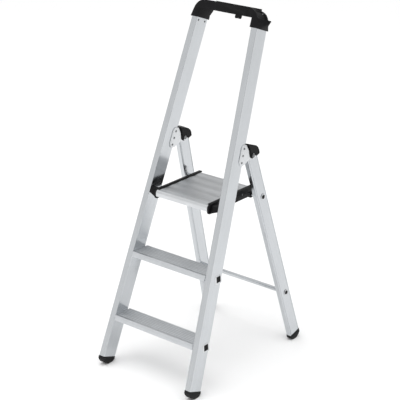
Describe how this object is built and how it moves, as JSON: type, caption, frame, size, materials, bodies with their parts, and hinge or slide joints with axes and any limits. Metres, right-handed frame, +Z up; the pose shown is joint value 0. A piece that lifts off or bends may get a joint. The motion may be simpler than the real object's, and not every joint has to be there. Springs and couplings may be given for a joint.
{
  "type": "folding step stool",
  "caption": "Folding metal step stool with flat treads, a fold-up standing platform, slanted rear legs and a moulded tool tray bridging the tops of the tall front stiles.",
  "frame": {"origin": "on the floor under the middle of the bounding box, feet standing on Z = 0", "axes": "+X to the user's right when facing the treads, +Y from the treads towards the rear legs, +Z up"},
  "size_m": [0.4566, 0.6782, 1.3378],
  "materials": {
    "satin_aluminium": "satin anodised extrusion",
    "tread_aluminium": "ribbed mill finish",
    "plate_aluminium": "satin pressed plate",
    "black_plastic": "fine moulded grain",
    "foot_rubber": "matt",
    "bright_steel": "bright rivet head"
  },
  "bodies": {
    "front_frame": {"left_front_stile": "satin_aluminium", "right_front_stile": "satin_aluminium", "lower_step": "tread_aluminium", "upper_step": "tread_aluminium", "step_end_flanges": "plate_aluminium", "step_end_plugs": "black_plastic", "left_front_foot": "foot_rubber", "right_front_foot": "foot_rubber", "tool_tray": "black_plastic", "tray_rivets": "bright_steel", "left_outer_hinge_plate": "plate_aluminium", "left_inner_hinge_plate": "plate_aluminium", "right_outer_hinge_plate": "plate_aluminium", "right_inner_hinge_plate": "plate_aluminium", "hinge_rivets": "bright_steel", "left_hinge_cap": "black_plastic", "right_hinge_cap": "black_plastic", "left_pivot_pin": "bright_steel", "right_pivot_pin": "bright_steel", "pivot_washers": "bright_steel", "left_platform_bracket": "black_plastic", "right_platform_bracket": "black_plastic"},
    "rear_frame": {"left_rear_leg": "satin_aluminium", "right_rear_leg": "satin_aluminium", "upper_cross_tube": "satin_aluminium", "lower_cross_tube": "satin_aluminium", "cross_tube_collars": "satin_aluminium", "left_rear_foot": "foot_rubber", "right_rear_foot": "foot_rubber"},
    "platform": {"platform_deck": "tread_aluminium", "left_side_frame": "black_plastic", "right_side_frame": "black_plastic", "deck_rivets": "bright_steel"}
  },
  "joints": [
    {"name": "rear_frame_fold", "type": "hinge", "parent": "front_frame", "child": "rear_frame", "pos_m": [0, 0.08533, 0.8145], "axis": [1, 0, 0], "range_deg": [-36, 0]},
    {"name": "platform_fold", "type": "hinge", "parent": "rear_frame", "child": "platform", "pos_m": [0, 0.13845, 0.63999], "axis": [1, 0, 0], "range_deg": [-74, 0]}
  ]
}
